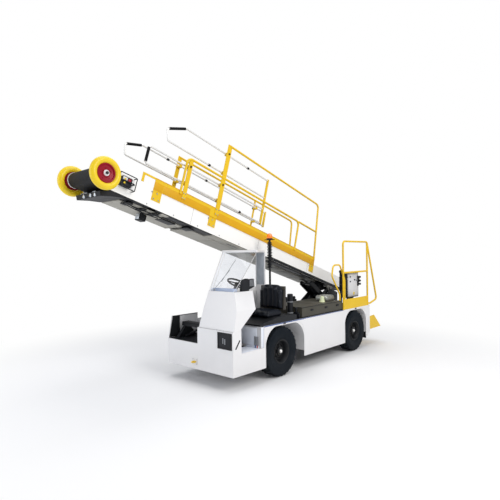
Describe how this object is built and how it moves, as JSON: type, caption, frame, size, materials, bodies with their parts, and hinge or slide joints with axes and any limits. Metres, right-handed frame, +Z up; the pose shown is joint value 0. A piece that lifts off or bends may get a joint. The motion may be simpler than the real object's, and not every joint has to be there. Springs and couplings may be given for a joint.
{
  "type": "baggage belt loader",
  "caption": "Airport baggage belt loader: low chassis with offset half cab, raised belt conveyor boom with side guards, sliding hand rails and bumper wheels.",
  "frame": {"origin": "on the ground under the middle of the whole machine's bounding box", "axes": "+X forward along the machine, +Y to the driver's left, +Z up"},
  "size_m": [6.7823, 1.601, 4.0566],
  "materials": {
    "body_paint": "satin",
    "boom_paint": "satin",
    "amber_paint": "satin",
    "black_paint": "satin",
    "frame_paint": "matt",
    "battery_case": "matt",
    "black_plastic": "matt",
    "locker_cover": "satin",
    "clear_glass": "clear",
    "seat_cover": "soft",
    "beacon_lens": "gloss",
    "tyre_rubber": "matt",
    "belt_rubber": "matt",
    "bumper_rubber": "satin",
    "belly_paint": "matt",
    "steel": "brushed",
    "stainless": "polished",
    "lamp": "gloss"
  },
  "bodies": {
    "chassis": {"chassis_frame": "frame_paint", "battery_block": "battery_case", "body_left": "body_paint", "body_right": "body_paint", "deck": "body_paint", "nose_shell": "body_paint", "boom_rest": "black_paint", "cab_shell": "body_paint", "cab_glass": "clear_glass", "cab_roof": "body_paint", "dashboard": "black_plastic", "seat_base": "black_plastic", "seat": "seat_cover", "canister": "black_plastic", "head_lamp": "lamp", "tow_eye": "amber_paint", "deck_locker": "locker_cover", "beacon_mast": "black_paint", "beacon": "beacon_lens", "platform_rail": "amber_paint", "grab_hoop": "amber_paint", "control_cabinet": "black_paint", "rear_step": "amber_paint", "front_axle": "frame_paint", "rear_axle": "frame_paint", "scissor_base": "black_paint"},
    "hand_wheel": {"steering_wheel": "black_plastic"},
    "knuckle_l": {"knuckle_left": "frame_paint"},
    "knuckle_r": {"knuckle_right": "frame_paint"},
    "wheel_fl": {"tyre_front_left": "tyre_rubber", "rim_front_left": "black_paint"},
    "wheel_fr": {"tyre_front_right": "tyre_rubber", "rim_front_right": "black_paint"},
    "wheel_rl": {"tyre_rear_left": "tyre_rubber", "rim_rear_left": "black_paint"},
    "wheel_rr": {"tyre_rear_right": "tyre_rubber", "rim_rear_right": "black_paint"},
    "lifter": {"lift_arm": "black_paint"},
    "boom": {"boom_panel_left": "boom_paint", "boom_panel_right": "boom_paint", "boom_frame": "boom_paint", "belt": "belt_rubber", "belt_drums": "steel", "belly_pans": "belly_paint", "work_lamp": "lamp", "tip_bracket": "black_paint", "tip_controls": "black_plastic", "guard_left": "amber_paint", "guard_right": "amber_paint"},
    "bumper_l": {"bumper_wheel_left": "bumper_rubber"},
    "bumper_r": {"bumper_wheel_right": "bumper_rubber"},
    "slider_l": {"handrail_left": "stainless"},
    "slider_r": {"handrail_right": "stainless"}
  },
  "joints": [
    {"name": "steer_left", "type": "hinge", "parent": "chassis", "child": "knuckle_l", "pos_m": [0.32, 0.47, 0.418], "axis": [0, 0, 1], "range_deg": [-30, 30]},
    {"name": "steer_right", "type": "hinge", "parent": "chassis", "child": "knuckle_r", "pos_m": [0.32, -0.47, 0.418], "axis": [0, 0, 1], "range_deg": [-30, 30]},
    {"name": "steering_wheel_turn", "type": "hinge", "parent": "chassis", "child": "hand_wheel", "pos_m": [0.91, 0.3, 1.57], "axis": [-0.5, 0, 0.866], "range_deg": [-360, 360]},
    {"name": "spin_front_left", "type": "hinge", "parent": "knuckle_l", "child": "wheel_fl", "pos_m": [0.32, 0.643, 0.418], "axis": [0, 1, 0], "continuous": true},
    {"name": "spin_front_right", "type": "hinge", "parent": "knuckle_r", "child": "wheel_fr", "pos_m": [0.32, -0.643, 0.418], "axis": [0, 1, 0], "continuous": true},
    {"name": "spin_rear_left", "type": "hinge", "parent": "chassis", "child": "wheel_rl", "pos_m": [-2.18, 0.643, 0.418], "axis": [0, 1, 0], "continuous": true},
    {"name": "spin_rear_right", "type": "hinge", "parent": "chassis", "child": "wheel_rr", "pos_m": [-2.18, -0.643, 0.418], "axis": [0, 1, 0], "continuous": true},
    {"name": "boom_lift", "type": "hinge", "parent": "chassis", "child": "boom", "pos_m": [-2.5001, -0.274, 1.2466], "axis": [0, -1, 0], "range_deg": [-22, 9]},
    {"name": "lift_arm_swing", "type": "hinge", "parent": "chassis", "child": "lifter", "pos_m": [-2.541, -0.274, 0.96], "axis": [0, -1, 0], "range_deg": [-20, 8]},
    {"name": "bumper_spin_left", "type": "hinge", "parent": "boom", "child": "bumper_l", "pos_m": [3.162, 0.125, 3.1102], "axis": [0, 1, 0], "continuous": true},
    {"name": "bumper_spin_right", "type": "hinge", "parent": "boom", "child": "bumper_r", "pos_m": [3.162, -0.77, 3.1102], "axis": [0, 1, 0], "continuous": true},
    {"name": "slide_left", "type": "slide", "parent": "boom", "child": "slider_l", "axis": [0.9591, 0, 0.283], "range_m": [-0.7, 0.3]},
    {"name": "slide_right", "type": "slide", "parent": "boom", "child": "slider_r", "axis": [0.9591, 0, 0.283], "range_m": [-0.7, 0.25]}
  ],
  "couplings": [
    {"joint": "steer_right", "follows": "steer_left", "ratio": 1},
    {"joint": "steering_wheel_turn", "follows": "steer_left", "ratio": 12},
    {"joint": "lift_arm_swing", "follows": "boom_lift", "ratio": 0.88}
  ]
}
